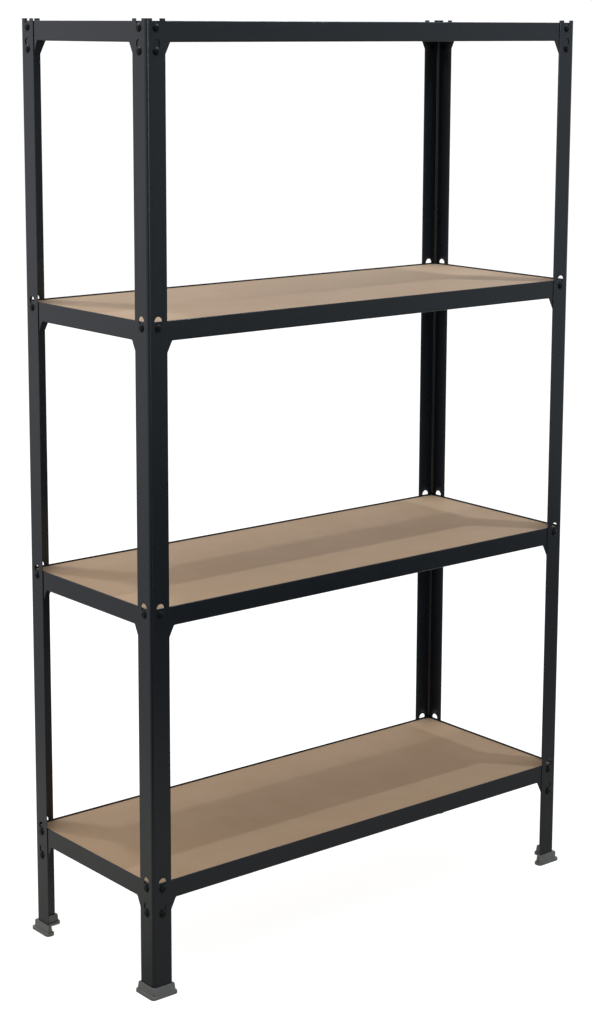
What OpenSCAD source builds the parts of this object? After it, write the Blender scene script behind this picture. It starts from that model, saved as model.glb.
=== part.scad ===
// Free-standing boltless rack: four angle uprights, four shelf levels, no bolts.
// Each level is four edge beams with a loose board inside them.
// The beams' headed rivets hang in keyholes in the uprights.
// Units are millimetres. Z is up, X runs along the long side, the front is at -Y.
// The origin is on the floor, in the middle of the rack.

/* [Rack] */
// Width over the outer faces of the uprights
rack_w = 888; // [600:1:1200]
// Depth over the outer faces of the uprights
rack_d = 335; // [250:1:500]
// Height from the floor to the top of the uprights
rack_h = 1500; // [1300:5:2000]
// Height of the lowest level's beam top above the floor
first_level = 185.5; // [120:0.5:260]
// Height from one level to the next
level_pitch = 437; // [300:0.5:500]

/* [Uprights] */
// Width of each flange of the angle
flange_w = 34.5; // [28:0.5:45]
// Sheet thickness of the uprights
upright_t = 1; // [0.8:0.1:2.5]
// Outer radius of the bend
upright_r = 5; // [2:0.25:6]

/* [Keyholes] */
// Distance of a keyhole's centre line from the outer corner
keyhole_in = 18; // [14:0.5:24]
// Diameter of the round entry of a keyhole
entry_d = 13.4; // [12:0.1:18]
// Height of the entry's centre above the beam top
entry_rise = 0.8; // [0:0.1:4]
// Width of the slot below the entry
slot_w = 7; // [5:0.25:9]
// Distance from one keyhole to the next in a pair at the top level
rivet_pitch = 33.4; // [28:0.1:40]
// The same distance at the lowest level
low_rivet_pitch = 41; // [28:0.1:41]

/* [Beams] */
// Height of a beam
beam_h = 30.6; // [24:0.2:45]
// Sheet thickness of the beams
beam_t = 1.2; // [0.8:0.1:2]
// Distance of a beam's end from the outer corner of the rack
beam_end_gap = 5.5; // [4:0.25:8]
// Height of the end plates below the beam top
plate_h = 56; // [50:0.5:70]
// How far the end plate's foot reaches from the outer corner
plate_foot = 31.2; // [28:0.2:34]
// How far the end plate's shoulder reaches past the flange
plate_reach = 9.3; // [4:0.1:15]
// Start of the folded hem and ledge from the outer corner
hem_start = 26; // [24:0.5:34]
// Width of the ledge that carries the board, from the outer face of the beam
ledge_w = 14; // [10:0.5:20]
// Distance from the end plate's shoulder to the start of the folded bottom edge
lip_setback = 1; // [0.5:0.5:4]
// Width of the folded bottom edge
lip_w = 9; // [5:0.5:15]
// Outer radius of the bottom bend
lip_r = 2.2; // [1.5:0.1:4]

/* [Rivets] */
// Depth of a rivet's centre below the beam top
rivet_drop = 9.9; // [8:0.1:12]
// Diameter of a rivet's head
head_d = 13; // [10:0.1:13.2]
// Height of a rivet's head
head_h = 2.6; // [1.5:0.1:4]
// Diameter of the flat on top of a rivet's head
head_flat_d = 6; // [2:0.5:9]
// Diameter of the shoulder that hangs in the slot
shoulder_d = 6.4; // [4:0.1:8]
// Diameter of the neck through the end plate
neck_d = 4.8; // [3:0.1:6]
// Diameter of the flattened tail
tail_d = 8.5; // [6:0.25:10]
// Thickness of the flattened tail
tail_h = 1; // [0.6:0.1:1.5]
// Clearance all round the neck in its hole
neck_play = 0.1; // [0.05:0.05:0.3]

/* [Boards] */
// Thickness of a board
board_t = 5; // [4:0.5:9]
// Depth of a board's top below the beam top
board_recess = 2.2; // [0:0.1:3]
// Gap between a board's edge and the hem
board_gap = 1; // [0.5:0.1:3]

/* [Feet] */
// Height of a foot
foot_h = 16.5; // [12:0.5:30]
// Thickness of a foot's sole
sole_t = 3; // [2:0.5:4]
// Height of the rim
rim_h = 4.5; // [3:0.5:6]
// How far the rim stands out from the upright on every side
rim_out = 7.5; // [5:0.5:12]
// How far the skirt stands out just above the rim
skirt_out = 4.2; // [3:0.2:8]
// Wall of the skirt at its top, along the flanges
skirt_top = 2.4; // [1:0.1:3]
// Wall of the skirt at its top, past the free edge of a flange
skirt_end_top = 3.4; // [1:0.1:4]
// Corner radius of the rim
rim_r = 6; // [2:0.5:7]
// Radius of the skirt's corner just above the rim
skirt_r = 5; // [2:0.5:6]

/* [Hidden] */
$fn = 96;
levels = 4;
overrun = 1;
play = 0.2;
web_in = upright_t + play;
hem_t = 2 * beam_t;
travel = rivet_drop + entry_rise;
board_edge = web_in + hem_t + board_gap;
socket_play = 0.15;
steel = [0.17, 0.18, 0.19];
tan_board = [0.66, 0.55, 0.42];
grey_plastic = [0.36, 0.36, 0.34];

function level_top(n) = first_level + (n - 1) * level_pitch;
// The top and bottom levels hang on two rivets at each beam end, the middle ones on one.
function rivet_rows(n) = (n == 1 || n == levels) ? 2 : 1;
function row_pitch(n) = n == 1 ? low_rivet_pitch : rivet_pitch;
function is_long(side) = side == "front" || side == "back";
// Length over the uprights on one side, and the distance between that side's two faces.
function side_span(side) = is_long(side) ? rack_w : rack_d;
function side_across(side) = is_long(side) ? rack_d : rack_w;
function side_turn(side) = side == "front" ? 0 : side == "back" ? 180 : side == "left" ? -90 : 90;

// ---------- placing ----------

// Places a corner piece, drawn with its legs along +X and +Y from the outer corner.
module at_corner(right, back)
    mirror([right ? 1 : 0, 0, 0]) mirror([0, back ? 1 : 0, 0])
        translate([-rack_w / 2, -rack_d / 2, 0]) children();

// Places a beam piece, drawn for the front, on one side of level n.
module at_side(n, side)
    translate([0, 0, level_top(n)])
        rotate([0, 0, side_turn(side)])
            translate([0, -side_across(side) / 2, 0]) children();

// ---------- uprights ----------

module angle_profile() {
    translate([upright_r, 0]) square([flange_w - upright_r, upright_t]);
    translate([0, upright_r]) square([upright_t, flange_w - upright_r]);
    translate([upright_r, upright_r]) difference() {
        intersection() {
            circle(r = upright_r);
            translate([-upright_r, -upright_r]) square([upright_r, upright_r]);
        }
        circle(r = upright_r - upright_t);
    }
}

// Keyhole outline with its lower end at the origin: a round entry above a narrower slot.
module keyhole_profile() {
    circle(d = slot_w);
    translate([-slot_w / 2, 0]) square([slot_w, travel]);
    translate([0, travel]) circle(d = entry_d);
}

// The keyholes of one flange, cut along +Y through a sheet that lies in the XZ plane.
module flange_keyholes() {
    for (n = [1:levels]) for (row = [0:rivet_rows(n) - 1])
        translate([keyhole_in, upright_t + overrun, level_top(n) - rivet_drop - row * row_pitch(n)])
            rotate([90, 0, 0]) linear_extrude(height = upright_t + 2 * overrun) keyhole_profile();
}

module upright() difference() {
    translate([0, 0, sole_t]) linear_extrude(height = rack_h - sole_t) angle_profile();
    flange_keyholes();
    mirror([1, -1, 0]) flange_keyholes();
}

// ---------- feet ----------

module rounded_box_2d(x0, y0, x1, y1, r) {
    translate([x0 + r, y0]) square([x1 - x0 - 2 * r, y1 - y0]);
    translate([x0, y0 + r]) square([x1 - x0, y1 - y0 - 2 * r]);
    for (x = [x0 + r, x1 - r]) for (y = [y0 + r, y1 - r]) translate([x, y]) circle(r = r);
}

// A box with only the corner at x0, y0 rounded.
module rounded_corner_2d(x0, y0, x1, y1, r) {
    translate([x0 + r, y0]) square([x1 - x0 - r, y1 - y0]);
    translate([x0, y0 + r]) square([x1 - x0, y1 - y0 - r]);
    translate([x0 + r, y0 + r]) circle(r = r);
}

// Cross-section of a tapering wall: it runs from a0 to a1 at the bottom, and is narrower at the top.
module taper_profile(a0, a1, narrow0, narrow1)
    polygon([[a0, sole_t], [a1, sole_t], [a1 - narrow1, foot_h], [a0 + narrow0, foot_h]]);

// The tapering skirt round one flange, drawn along +X.
module skirt_leg() {
    narrow = skirt_out - skirt_top;
    narrow_end = skirt_out - skirt_end_top;
    length = flange_w + skirt_out;
    intersection() {
        translate([0, upright_t + skirt_out, 0]) rotate([90, 0, 0])
            linear_extrude(height = upright_t + 2 * skirt_out)
                taper_profile(-skirt_out, length, narrow, narrow_end);
        translate([-skirt_out, 0, 0]) rotate([90, 0, 90]) linear_extrude(height = length + skirt_out)
            taper_profile(-skirt_out, upright_t + skirt_out, narrow, narrow);
        linear_extrude(height = foot_h)
            rounded_corner_2d(-skirt_out, -skirt_out, length, upright_t + skirt_out, skirt_r);
    }
}

// Socket for the end of an upright, with the same clearance all round the angle and its bend.
module socket_profile() {
    across = upright_t + 2 * socket_play;
    from_bend = flange_w - upright_r + socket_play;
    outer_r = upright_r + socket_play;
    translate([upright_r, -socket_play]) square([from_bend, across]);
    translate([-socket_play, upright_r]) square([across, from_bend]);
    translate([upright_r, upright_r]) difference() {
        intersection() {
            circle(r = outer_r);
            translate([-outer_r, -outer_r]) square([outer_r, outer_r]);
        }
        circle(r = outer_r - across);
    }
}

module foot() difference() {
    union() {
        linear_extrude(height = rim_h) {
            rounded_box_2d(-rim_out, -rim_out, flange_w + rim_out, upright_t + rim_out, rim_r);
            rounded_box_2d(-rim_out, -rim_out, upright_t + rim_out, flange_w + rim_out, rim_r);
        }
        skirt_leg();
        mirror([1, -1, 0]) skirt_leg();
    }
    translate([0, 0, sole_t]) linear_extrude(height = foot_h) socket_profile();
}

// ---------- beams ----------

// Folded section: plain outer face, hem at the top with the ledge turned in from it, lip at the bottom.
// First axis: inwards from the outer face. Second axis: up, with the beam top at zero.
module hem_and_ledge_profile() {
    ledge_top = -board_recess - board_t;
    translate([beam_t, -beam_t]) intersection() {
        circle(r = beam_t);
        translate([-beam_t, 0]) square([2 * beam_t, beam_t]);
    }
    translate([beam_t, ledge_top - beam_t]) square([beam_t, -ledge_top]);
    translate([beam_t, ledge_top - beam_t]) square([ledge_w - beam_t, beam_t]);
}

module lip_profile() {
    translate([lip_r, -beam_h + lip_r]) difference() {
        intersection() {
            circle(r = lip_r);
            translate([-lip_r, -lip_r]) square([lip_r, lip_r]);
        }
        circle(r = lip_r - beam_t);
    }
    translate([lip_r, -beam_h]) square([lip_w - lip_r, beam_t]);
}

// Extrudes a section along the beam between two planes the same distance from both ends.
module along_beam(span, from_end)
    translate([-span / 2 + from_end, web_in, 0]) rotate([90, 0, 90])
        linear_extrude(height = span - 2 * from_end) children();

module beam(span, rows, pitch) {
    shoulder = flange_w + plate_reach;
    lip_start = shoulder + lip_setback;
    difference() {
        union() {
            // outer sheet with an end plate at each end
            for (s = [0, 1]) mirror([s, 0, 0]) translate([-span / 2, web_in + beam_t, 0]) rotate([90, 0, 0])
                linear_extrude(height = beam_t) polygon([
                    [beam_end_gap, -plate_h], [plate_foot, -plate_h],
                    [shoulder, -beam_h], [lip_start, -beam_h],
                    [lip_start, -beam_t], [hem_start, -beam_t], [hem_start, 0], [beam_end_gap, 0]]);
            along_beam(span, lip_start) {
                translate([0, -beam_h + lip_r]) square([beam_t, beam_h - lip_r - beam_t]);
                lip_profile();
            }
            along_beam(span, hem_start) hem_and_ledge_profile();
        }
        for (s = [-1, 1]) for (row = [0:rows - 1])
            translate([s * (span / 2 - keyhole_in), web_in + 2 * beam_t, -rivet_drop - row * pitch])
                rotate([90, 0, 0]) cylinder(d = neck_d + 2 * neck_play, h = 3 * beam_t);
    }
}

// One headed rivet, drawn with its axis along +Y and the upright's outer face at y = 0.
// Its head is a slice of a ball, round at the rim and flat on top.
module rivet() {
    rim_q = head_d * head_d / 4;
    flat_q = head_flat_d * head_flat_d / 4;
    ball_in = (rim_q - flat_q - head_h * head_h) / (2 * head_h);
    intersection() {
        translate([0, ball_in - play, 0]) sphere(r = sqrt(rim_q + ball_in * ball_in));
        translate([-head_d, -play - head_h, -head_d]) cube([2 * head_d, head_h, 2 * head_d]);
    }
    translate([0, web_in, 0]) rotate([90, 0, 0]) cylinder(d = shoulder_d, h = web_in + play);
    translate([0, web_in + beam_t, 0]) rotate([90, 0, 0]) cylinder(d = neck_d, h = beam_t);
    translate([0, web_in + beam_t + tail_h, 0]) rotate([90, 0, 0]) cylinder(d = tail_d, h = tail_h);
}

module rivets(span, rows, pitch)
    for (s = [-1, 1]) for (row = [0:rows - 1])
        translate([s * (span / 2 - keyhole_in), 0, -rivet_drop - row * pitch]) rivet();

// ---------- boards ----------

module board(n)
    translate([-rack_w / 2 + board_edge, -rack_d / 2 + board_edge, level_top(n) - board_recess - board_t])
        cube([rack_w - 2 * board_edge, rack_d - 2 * board_edge, board_t]);

// ---------- named pieces ----------

module level_beam(n, side) at_side(n, side) beam(side_span(side), rivet_rows(n), row_pitch(n));
module level_rivets(n, side) at_side(n, side) rivets(side_span(side), rivet_rows(n), row_pitch(n));

module front_left_upright() color(steel) at_corner(false, false) upright();
module front_right_upright() color(steel) at_corner(true, false) upright();
module back_left_upright() color(steel) at_corner(false, true) upright();
module back_right_upright() color(steel) at_corner(true, true) upright();
module front_left_foot() color(grey_plastic) at_corner(false, false) foot();
module front_right_foot() color(grey_plastic) at_corner(true, false) foot();
module back_left_foot() color(grey_plastic) at_corner(false, true) foot();
module back_right_foot() color(grey_plastic) at_corner(true, true) foot();
module shelf_1_front_beam() color(steel) level_beam(1, "front");
module shelf_1_front_rivets() color(steel) level_rivets(1, "front");
module shelf_1_back_beam() color(steel) level_beam(1, "back");
module shelf_1_back_rivets() color(steel) level_rivets(1, "back");
module shelf_1_left_beam() color(steel) level_beam(1, "left");
module shelf_1_left_rivets() color(steel) level_rivets(1, "left");
module shelf_1_right_beam() color(steel) level_beam(1, "right");
module shelf_1_right_rivets() color(steel) level_rivets(1, "right");
module shelf_1_board() color(tan_board) board(1);
module shelf_2_front_beam() color(steel) level_beam(2, "front");
module shelf_2_front_rivets() color(steel) level_rivets(2, "front");
module shelf_2_back_beam() color(steel) level_beam(2, "back");
module shelf_2_back_rivets() color(steel) level_rivets(2, "back");
module shelf_2_left_beam() color(steel) level_beam(2, "left");
module shelf_2_left_rivets() color(steel) level_rivets(2, "left");
module shelf_2_right_beam() color(steel) level_beam(2, "right");
module shelf_2_right_rivets() color(steel) level_rivets(2, "right");
module shelf_2_board() color(tan_board) board(2);
module shelf_3_front_beam() color(steel) level_beam(3, "front");
module shelf_3_front_rivets() color(steel) level_rivets(3, "front");
module shelf_3_back_beam() color(steel) level_beam(3, "back");
module shelf_3_back_rivets() color(steel) level_rivets(3, "back");
module shelf_3_left_beam() color(steel) level_beam(3, "left");
module shelf_3_left_rivets() color(steel) level_rivets(3, "left");
module shelf_3_right_beam() color(steel) level_beam(3, "right");
module shelf_3_right_rivets() color(steel) level_rivets(3, "right");
module shelf_3_board() color(tan_board) board(3);
module shelf_4_front_beam() color(steel) level_beam(4, "front");
module shelf_4_front_rivets() color(steel) level_rivets(4, "front");
module shelf_4_back_beam() color(steel) level_beam(4, "back");
module shelf_4_back_rivets() color(steel) level_rivets(4, "back");
module shelf_4_left_beam() color(steel) level_beam(4, "left");
module shelf_4_left_rivets() color(steel) level_rivets(4, "left");
module shelf_4_right_beam() color(steel) level_beam(4, "right");
module shelf_4_right_rivets() color(steel) level_rivets(4, "right");
module shelf_4_board() color(tan_board) board(4);

front_left_upright();
front_right_upright();
back_left_upright();
back_right_upright();
front_left_foot();
front_right_foot();
back_left_foot();
back_right_foot();
shelf_1_front_beam();
shelf_1_front_rivets();
shelf_1_back_beam();
shelf_1_back_rivets();
shelf_1_left_beam();
shelf_1_left_rivets();
shelf_1_right_beam();
shelf_1_right_rivets();
shelf_1_board();
shelf_2_front_beam();
shelf_2_front_rivets();
shelf_2_back_beam();
shelf_2_back_rivets();
shelf_2_left_beam();
shelf_2_left_rivets();
shelf_2_right_beam();
shelf_2_right_rivets();
shelf_2_board();
shelf_3_front_beam();
shelf_3_front_rivets();
shelf_3_back_beam();
shelf_3_back_rivets();
shelf_3_left_beam();
shelf_3_left_rivets();
shelf_3_right_beam();
shelf_3_right_rivets();
shelf_3_board();
shelf_4_front_beam();
shelf_4_front_rivets();
shelf_4_back_beam();
shelf_4_back_rivets();
shelf_4_left_beam();
shelf_4_left_rivets();
shelf_4_right_beam();
shelf_4_right_rivets();
shelf_4_board();
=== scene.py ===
"""Looks for the boltless steel shelving: materials, edges, light, floor and camera round the CAD frame."""
import math

import bpy
from mathutils import Matrix, Vector


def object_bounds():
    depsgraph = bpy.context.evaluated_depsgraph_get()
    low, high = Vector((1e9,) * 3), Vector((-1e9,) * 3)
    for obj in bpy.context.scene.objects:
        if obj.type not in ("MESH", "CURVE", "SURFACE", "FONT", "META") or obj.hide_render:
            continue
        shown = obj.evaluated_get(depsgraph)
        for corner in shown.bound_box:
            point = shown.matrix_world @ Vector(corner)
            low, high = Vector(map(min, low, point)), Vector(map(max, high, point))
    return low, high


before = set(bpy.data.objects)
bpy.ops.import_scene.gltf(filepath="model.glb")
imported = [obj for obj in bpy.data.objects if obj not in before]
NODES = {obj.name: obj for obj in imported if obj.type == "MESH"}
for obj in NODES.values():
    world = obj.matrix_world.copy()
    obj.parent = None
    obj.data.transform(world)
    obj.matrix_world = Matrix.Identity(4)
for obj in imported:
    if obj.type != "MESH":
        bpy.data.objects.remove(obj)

CAD_LO, CAD_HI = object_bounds()

# ---------- finishes: linear colours, roughness, specular level and how much the edges are worn ----------

PAINT = (0.0088, 0.0108, 0.0144)
PAINT_WORN = (0.018, 0.021, 0.026)
PAINT_ROUGH, PAINT_WEAR, PAINT_SPECULAR = 0.27, 0.55, 0.50
# rivet heads: a dark coat, darkened further as painted shade for the shade round the heads
RIVET_AND_PAINTED_SHADE = (0.0048, 0.0052, 0.0060)
RIVET_WORN = (0.020, 0.021, 0.023)
RIVET_ROUGH, RIVET_WEAR, RIVET_SPECULAR = 0.30, 0.30, 0.15
BOARD_LIGHT = (0.436, 0.278, 0.156)
BOARD_DARK = (0.363, 0.225, 0.120)
BOARD_FIBRE = (0.225, 0.137, 0.074)
BOARD_SHEEN, BOARD_SHEEN_ROUGH = 0.21, 0.30
FOOT = (0.136, 0.133, 0.125)
FOOT_SCUFF = (0.215, 0.212, 0.200)
WHITE = (1.0, 1.0, 1.0)

# ---------- patterns: how many grains to the metre ----------

COAT_DRIFT, COAT_CLOUD, COAT_RUB = 5.0, 9.0, 60.0
COAT_PEEL, COAT_FINE_PEEL, COAT_SPECK = 620.0, 1900.0, 2600.0
BOARD_PATCH, BOARD_MOTTLE, BOARD_CLUMP = 3.2, 11.0, 45.0
BOARD_FLECK, BOARD_GRAIN = 420.0, 750.0
FIBRE_ALONG, FIBRE_ACROSS = 160.0, 900.0
BOOT_TONE, BOOT_SCUFF, BOOT_GRAIN = 30.0, 120.0, 1500.0
SCRATCH_LEVEL, SCRATCH_UPRIGHT = 90.0, 1300.0

# ---------- relief, worn edges and broken edges, in metres ----------

PEEL_DEPTH, FIBRE_DEPTH, GRAIN_DEPTH = 0.00002, 0.00003, 0.00004
COAT_WEAR_WIDTH, BOOT_WEAR_WIDTH = 0.0009, 0.0012
WELD_REACH = 0.00001
EDGE_WIDTH = {"upright": 0.0003, "beam": 0.00025, "rivets": 0.0002, "board": 0.0005, "foot": 0.0011}
EDGE_STEPS = 2
SHARP_ANGLE = math.radians(40)

# ---------- lamps: places and sizes in metres, powers in watts ----------

KEY_PLACES = ((0.756, -0.594, 2.677), (-0.693, 0.624, 2.501))
KEY_POWERS = (13.0, 8.0)
KEY_SIZES = (0.05, 0.09)
KEY_TINT = (0.84, 1.0, 1.20)
OVERHEAD_PLACE = (-1.0, 0.0, 3.0)
OVERHEAD_SIZE = (2.0, 4.0)
OVERHEAD_POWER = 35.0
OVERHEAD_TINT = (1.10, 1.0, 0.86)

# ---------- room and floor ----------
# Each ramp: from and to, as how far a direction points to the dim side, then the level before and after.

DIM_SIDE = (-0.17, -0.985, 0.0)
ROOM_RAMP = (0.36, 0.78, 0.76, 0.25)
# The floor and stand ramps, FAR_LEVEL, STAND_TINT and the reaches set the floor's painted glow, which lights
# the rack
FLOOR_RAMP = (0.30, 0.60, 0.45, 0.01)
STAND_RAMP = (-0.20, 0.50, 0.56, 0.31)
FAR_LEVEL = 0.83
BRIGHT_TINT = (0.97, 1.0, 1.04)
DIM_TINT = (0.86, 1.0, 1.04)
STAND_TINT = (1.03, 1.0, 0.93)
STAND_REACH = (1.23, 1.31)
FLOOR_REACH = (3.5, 4.0)
FLOOR_SIZE = 14.0
FLOOR_GAP = 0.0003
# painted shade on the floor's glow round the rack: its reach in metres and its level
SHADE_REACH = 0.30
SHADE_LEVEL = 0.82
BACKDROP_LEVEL = 1.05
FLOOR_COLOUR = (0.32, 0.32, 0.32)
FLOOR_GLOW = 0.91

# ---------- strip of light in front: side, half widths, and the rises at which its ends fade ----------

GLINT_SIDE = (0.017, -1.0, 0.0)
GLINT_WIDTH = (math.radians(9.0), math.radians(5.0))
GLINT_FOOT = (-0.055, -0.020)
GLINT_TOP = (0.30, 0.22)
GLINT_LEVEL = 8.0

# ---------- camera: the eye in metres, the lens and its axis in picture heights ----------

EYE = (-2.2286, -2.6855, 1.4924)
YAW, PITCH, ROLL = (math.radians(a) for a in (39.36, 9.878, 0.204))
FOCAL_LENGTH = 2.07588
AXIS_RISE = -0.114902
SENSOR_MM = 36.0


class Tree:
    """A node tree that is written as nested calls: each helper makes one node and returns its output."""

    def __init__(self, tree):
        self.tree = tree
        tree.nodes.clear()

    def node(self, kind, inputs=None, **settings):
        n = self.tree.nodes.new(kind)
        for name, value in settings.items():
            setattr(n, name, value)
        for name, value in (inputs or {}).items():
            self.feed(n.inputs[name], value)
        return n

    def feed(self, socket, value):
        if isinstance(value, bpy.types.NodeSocket):
            self.tree.links.new(value, socket)
        elif isinstance(value, (tuple, list)) and len(value) == 3 and socket.type == "RGBA":
            socket.default_value = (*value, 1.0)
        else:
            socket.default_value = value

    def place(self):
        """Position in metres in the row frame: every object stands at the origin at rest."""
        return self.node("ShaderNodeTexCoord").outputs["Object"]

    def stretched(self, scale):
        return self.node("ShaderNodeMapping", {"Vector": self.place(), "Scale": scale}).outputs["Vector"]

    def noise(self, scale, detail=2.0, rough=0.5, vector=None):
        source = vector if vector is not None else self.place()
        inputs = {"Vector": source, "Scale": scale, "Detail": detail, "Roughness": rough}
        return self.node("ShaderNodeTexNoise", inputs).outputs["Fac"]

    def ramp(self, value, low, high, to_low=0.0, to_high=1.0):
        """Goes smoothly from to_low to to_high while the value goes from low to high."""
        inputs = {"Value": value, "From Min": low, "From Max": high, "To Min": to_low, "To Max": to_high}
        return self.node("ShaderNodeMapRange", inputs, interpolation_type="SMOOTHSTEP").outputs["Result"]

    def times(self, a, b):
        return self.node("ShaderNodeMath", {0: a, 1: b}, operation="MULTIPLY").outputs["Value"]

    def plus(self, a, b):
        return self.node("ShaderNodeMath", {0: a, 1: b}, operation="ADD").outputs["Value"]

    def larger(self, a, b):
        return self.node("ShaderNodeMath", {0: a, 1: b}, operation="MAXIMUM").outputs["Value"]

    def vector(self, operation, *values):
        """Vector arithmetic: a dot product or a length is a number, anything else a vector."""
        made = self.node("ShaderNodeVectorMath", dict(enumerate(values)), operation=operation)
        return made.outputs["Value" if operation in ("DOT_PRODUCT", "LENGTH") else "Vector"]

    def blend(self, fac, a, b):
        """Between two numbers, which are inputs 2 and 3 of a mix node."""
        return self.node("ShaderNodeMix", {"Factor": fac, 2: a, 3: b}, data_type="FLOAT").outputs[0]

    def mix(self, fac, a, b):
        """Between two colours, which are inputs 6 and 7 of a mix node."""
        return self.node("ShaderNodeMix", {"Factor": fac, 6: a, 7: b}, data_type="RGBA").outputs[2]

    def edges(self, width):
        """1 along the sheet's sharp edges and bends, 0 on the flats."""
        rounded = self.node("ShaderNodeBevel", {"Radius": width}, samples=4).outputs["Normal"]
        flat = self.node("ShaderNodeNewGeometry").outputs["Normal"]
        return self.ramp(self.vector("DOT_PRODUCT", rounded, flat), 0.995, 0.80)

    def bump(self, height, distance):
        return self.node("ShaderNodeBump", {"Height": height, "Distance": distance}).outputs["Normal"]

    def seen_or_lit(self, seen, lit):
        """One shader for what the camera sees, another for what lights the object and shows in its gloss."""
        camera_ray = self.node("ShaderNodeLightPath").outputs["Is Camera Ray"]
        return self.node("ShaderNodeMixShader", {"Fac": camera_ray, 1: lit, 2: seen}).outputs["Shader"]


def new_material(name):
    material = bpy.data.materials.new(name)
    material.use_nodes = True
    return material, Tree(material.node_tree)


def paler(colour, gain):
    return tuple(gain * c for c in colour)


def principled(t, **inputs):
    names = {"base": "Base Color", "rough": "Roughness", "normal": "Normal", "specular": "Specular IOR Level"}
    shader = t.node("ShaderNodeBsdfPrincipled", {names[k]: v for k, v in inputs.items()})
    t.node("ShaderNodeOutputMaterial", {"Surface": shader.outputs["BSDF"]})
    return shader


# ---------- materials ----------


def painted_steel(name, base, worn, rough, wear, specular):
    """Powder coat on sheet steel: orange peel, faint clouding, thinner paler coat along the edges."""
    material, t = new_material(name)
    cloud = t.ramp(t.noise(COAT_CLOUD, 3.0), 0.35, 0.65)
    speck = t.ramp(t.noise(COAT_SPECK, 1.0), 0.66, 0.74)
    rubbed = t.times(t.edges(COAT_WEAR_WIDTH), t.ramp(t.noise(COAT_RUB, 4.0, 0.6), 0.40, 0.72))
    handled = t.times(rubbed, wear)
    clouded = t.mix(t.times(cloud, 0.5), base, paler(base, 1.12))
    specked = t.mix(t.times(speck, 0.30), clouded, worn)
    peel = t.plus(t.noise(COAT_PEEL, 2.0), t.times(t.noise(COAT_FINE_PEEL, 1.0), 0.35))
    drift = t.ramp(t.noise(COAT_DRIFT, 2.0), 0.3, 0.7, rough - 0.01, rough + 0.015)
    principled(
        t,
        base=t.mix(handled, specked, worn),
        rough=t.plus(drift, t.times(handled, 0.12)),
        normal=t.bump(peel, PEEL_DEPTH),
        specular=specular,
    )
    return material


def fibreboard():
    """Bare fibreboard: soft tan mottling, short fibres pressed flat, a few dark flecks, matt."""
    material, t = new_material("fibreboard_bare")
    mottle = t.ramp(t.noise(BOARD_MOTTLE, 4.0, 0.6), 0.30, 0.70)
    patch = t.ramp(t.noise(BOARD_PATCH, 2.0), 0.35, 0.68)
    tone = t.mix(t.plus(t.times(mottle, 0.16), t.times(patch, 0.14)), BOARD_LIGHT, BOARD_DARK)
    along = t.noise(1.0, 3.0, 0.65, t.stretched((FIBRE_ALONG, FIBRE_ACROSS, FIBRE_ACROSS)))
    across = t.noise(1.0, 3.0, 0.65, t.stretched((FIBRE_ACROSS, FIBRE_ALONG, FIBRE_ACROSS)))
    fibres = t.times(t.ramp(along, 0.55, 0.78), t.ramp(t.noise(BOARD_CLUMP), 0.35, 0.65))
    crossing = t.times(t.ramp(across, 0.57, 0.80), 0.7)
    flecks = t.ramp(t.noise(BOARD_FLECK, 2.0), 0.70, 0.76)
    dark = t.larger(t.larger(fibres, crossing), t.times(flecks, 1.3))
    relief = t.plus(t.noise(BOARD_GRAIN, 3.0), t.times(along, 0.6))
    shader = principled(
        t,
        base=t.mix(t.times(dark, 0.34), tone, BOARD_FIBRE),
        rough=t.ramp(mottle, 0.0, 1.0, 0.66, 0.74),
        normal=t.bump(relief, FIBRE_DEPTH),
    )
    shader.inputs["Sheen Weight"].default_value = BOARD_SHEEN
    shader.inputs["Sheen Roughness"].default_value = BOARD_SHEEN_ROUGH
    return material


def moulded_plastic():
    """Moulded plastic boots: fine grain, scuffed pale along the rim, faint level scratches."""
    material, t = new_material("boot_plastic")
    grain = t.noise(BOOT_GRAIN, 2.0)
    scuff = t.times(t.edges(BOOT_WEAR_WIDTH), t.ramp(t.noise(BOOT_SCUFF, 4.0, 0.65), 0.42, 0.66))
    drawn = t.stretched((SCRATCH_LEVEL, SCRATCH_LEVEL, SCRATCH_UPRIGHT))
    scratch = t.ramp(t.noise(1.0, 3.0, 0.6, drawn), 0.62, 0.72)
    marks = t.larger(scuff, t.times(scratch, 0.35))
    tone = t.mix(t.ramp(t.noise(BOOT_TONE, 3.0), 0.3, 0.7), FOOT, paler(FOOT, 1.15))
    principled(
        t,
        base=t.mix(t.times(marks, 0.55), tone, FOOT_SCUFF),
        rough=t.ramp(grain, 0.3, 0.7, 0.48, 0.60),
        normal=t.bump(grain, GRAIN_DEPTH),
    )
    return material


def sort_of(name):
    """What sort of piece a node is: the last word of its name."""
    return name.rsplit("_", 1)[1]


def paint_nodes():
    coat = painted_steel("powder_coat", PAINT, PAINT_WORN, PAINT_ROUGH, PAINT_WEAR, PAINT_SPECULAR)
    # the rivet heads' near-black colour is their own dark coat plus painted shade
    head = painted_steel("rivet_coat_and_painted_shade", RIVET_AND_PAINTED_SHADE, RIVET_WORN, RIVET_ROUGH, RIVET_WEAR, RIVET_SPECULAR)
    board = fibreboard()
    boot = moulded_plastic()
    finishes = {"upright": coat, "beam": coat, "rivets": head, "board": board, "foot": boot}
    for name, obj in NODES.items():
        obj.data.materials.clear()
        obj.data.materials.append(finishes[sort_of(name)])


# ---------- edges ----------


def soften_edges():
    """Breaks every sharp edge by a fraction of a millimetre, so that it takes light as a real one does."""
    for name, obj in NODES.items():
        weld = obj.modifiers.new("weld", "WELD")
        weld.merge_threshold = WELD_REACH
        bevel = obj.modifiers.new("edge", "BEVEL")
        bevel.width = EDGE_WIDTH[sort_of(name)]
        bevel.segments = EDGE_STEPS
        bevel.limit_method = "ANGLE"
        bevel.angle_limit = SHARP_ANGLE
        normals = obj.modifiers.new("normals", "WEIGHTED_NORMAL")
        normals.keep_sharp = True


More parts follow.
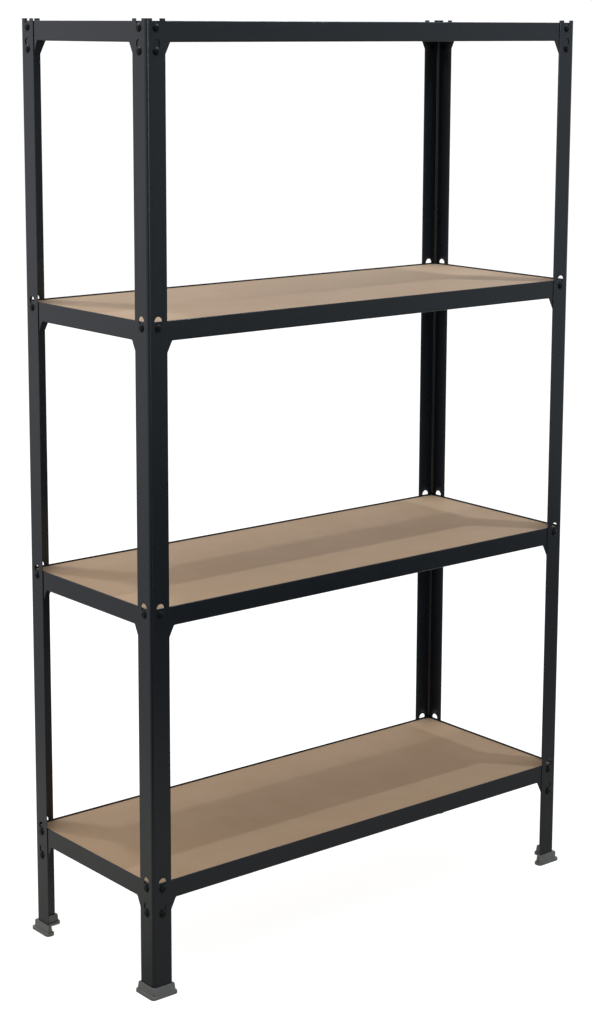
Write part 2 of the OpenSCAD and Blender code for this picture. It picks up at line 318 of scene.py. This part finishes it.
# ---------- room ----------


def towards(t, direction, side):
    """How far a direction, seen from above, points to one side: 1 straight at it, -1 straight away."""
    level = t.vector("MULTIPLY", direction, (1.0, 1.0, 0.0))
    return t.vector("DOT_PRODUCT", t.vector("NORMALIZE", level), side)


def room_level(t, side):
    return t.ramp(side, *ROOM_RAMP)


def room_tint(t, side):
    dim_from, dim_to = ROOM_RAMP[:2]
    return t.mix(t.ramp(side, dim_from, dim_to), BRIGHT_TINT, DIM_TINT)


def glint(t, direction):
    """A narrow upright strip of light in front of the rack, which draws a pale line down its nearest bend."""
    wide, narrow = (math.cos(angle) for angle in GLINT_WIDTH)
    across = t.ramp(towards(t, direction, GLINT_SIDE), wide, narrow)
    rise = t.vector("DOT_PRODUCT", direction, (0.0, 0.0, 1.0))
    along = t.times(t.ramp(rise, *GLINT_FOOT), t.ramp(rise, *GLINT_TOP))
    return t.times(t.times(across, along), GLINT_LEVEL)


def studio_world():
    """White to the camera. To everything else a room that is bright behind the rack and dim in front."""
    world = bpy.data.worlds.new("studio")
    bpy.context.scene.world = world
    world.use_nodes = True
    t = Tree(world.node_tree)
    direction = t.node("ShaderNodeTexCoord").outputs["Generated"]
    side = towards(t, direction, DIM_SIDE)
    level = t.plus(room_level(t, side), glint(t, direction))
    room = t.node("ShaderNodeBackground", {"Color": room_tint(t, side), "Strength": level})
    backdrop = t.node("ShaderNodeBackground", {"Color": WHITE, "Strength": BACKDROP_LEVEL})
    both = t.seen_or_lit(backdrop.outputs["Background"], room.outputs["Background"])
    t.node("ShaderNodeOutputWorld", {"Surface": both})


# ---------- floor ----------


def painted_shade_round_rack(t, flat):
    """Painted shade: the floor's glow is dimmed under the rack and close round it."""
    half = ((CAD_HI.x - CAD_LO.x) / 2, (CAD_HI.y - CAD_LO.y) / 2, 1.0)
    past = t.vector("SUBTRACT", t.vector("ABSOLUTE", flat), half)
    outside = t.vector("MAXIMUM", past, (0.0, 0.0, 0.0))
    return t.ramp(t.vector("LENGTH", outside), 0.0, SHADE_REACH, SHADE_LEVEL, 1.0)


def floor_glow_as_lit(t):
    """Painted light: a glow that lights the rack, pale on a stand round it, dim on the floor in front, and at
    the room's level far away.
    """
    place = t.place()
    flat = t.vector("MULTIPLY", place, (1.0, 1.0, 0.0))
    radius = t.vector("LENGTH", flat)
    side = towards(t, place, DIM_SIDE)
    stand_near, stand_far = STAND_REACH
    on_stand = t.ramp(radius, stand_far, stand_near)
    stand = t.times(t.ramp(side, *STAND_RAMP), painted_shade_round_rack(t, flat))
    near = t.blend(on_stand, t.ramp(side, *FLOOR_RAMP), stand)
    level = t.blend(t.ramp(radius, *FLOOR_REACH), near, t.times(room_level(t, side), FAR_LEVEL))
    tint = t.mix(on_stand, room_tint(t, side), STAND_TINT)
    return t.node("ShaderNodeEmission", {"Color": tint, "Strength": level}).outputs["Emission"]


def floor_as_seen(t):
    """White, with only a faint trace of the rack's shadow."""
    matt = t.node("ShaderNodeBsdfDiffuse", {"Color": FLOOR_COLOUR})
    glow = t.node("ShaderNodeEmission", {"Color": WHITE, "Strength": FLOOR_GLOW})
    both = t.node("ShaderNodeAddShader", {0: matt.outputs["BSDF"], 1: glow.outputs["Emission"]})
    return both.outputs["Shader"]


def floor():
    mesh = bpy.data.meshes.new("floor")
    half = FLOOR_SIZE / 2
    z = CAD_LO.z - FLOOR_GAP
    corners = [(-half, -half, z), (half, -half, z), (half, half, z), (-half, half, z)]
    mesh.from_pydata(corners, [], [(0, 1, 2, 3)])
    obj = bpy.data.objects.new("floor", mesh)
    bpy.context.scene.collection.objects.link(obj)
    material, t = new_material("pale_floor")
    t.node("ShaderNodeOutputMaterial", {"Surface": t.seen_or_lit(floor_as_seen(t), floor_glow_as_lit(t))})
    mesh.materials.append(material)


# ---------- lamps ----------


def lamp(name, place, power, tint, shape, size, aim):
    light = bpy.data.lights.new(name, "AREA")
    light.shape = shape
    light.size, light.size_y = size
    light.energy = power
    light.color = tint
    obj = bpy.data.objects.new(name, light)
    obj.location = place
    obj.rotation_euler = (Vector(aim) - Vector(place)).to_track_quat("-Z", "Y").to_euler()
    obj.visible_camera = False
    bpy.context.scene.collection.objects.link(obj)


def lights():
    """Two small lamps high over opposite corners draw the shelves' shadows. A large one fills from above."""
    middle = (CAD_LO + CAD_HI) / 2
    for n, (place, power, size) in enumerate(zip(KEY_PLACES, KEY_POWERS, KEY_SIZES)):
        lamp(f"key_{n + 1}", place, power, KEY_TINT, "DISK", (size, size), middle)
    below = (OVERHEAD_PLACE[0], OVERHEAD_PLACE[1], 0.0)
    lamp("overhead", OVERHEAD_PLACE, OVERHEAD_POWER, OVERHEAD_TINT, "RECTANGLE", OVERHEAD_SIZE, below)


# ---------- camera ----------


def camera():
    data = bpy.data.cameras.new("camera")
    obj = bpy.data.objects.new("camera", data)
    bpy.context.scene.collection.objects.link(obj)
    bpy.context.scene.camera = obj
    ahead = Vector((math.sin(YAW) * math.cos(PITCH), math.cos(YAW) * math.cos(PITCH), -math.sin(PITCH)))
    level_right = Vector((math.cos(YAW), -math.sin(YAW), 0.0))
    level_up = level_right.cross(ahead)
    right = math.cos(ROLL) * level_right + math.sin(ROLL) * level_up
    up = right.cross(ahead)
    turn = Matrix((right, up, -ahead)).transposed()
    obj.matrix_world = Matrix.Translation(EYE) @ turn.to_4x4()
    data.sensor_width = SENSOR_MM
    data.lens = FOCAL_LENGTH * SENSOR_MM
    data.shift_y = AXIS_RISE


def colour_management():
    view = bpy.context.scene.view_settings
    view.view_transform = "Standard"
    view.look = "None"
    view.exposure = 0.0
    view.gamma = 1.0


paint_nodes()
soften_edges()
studio_world()
floor()
lights()
camera()
colour_management()
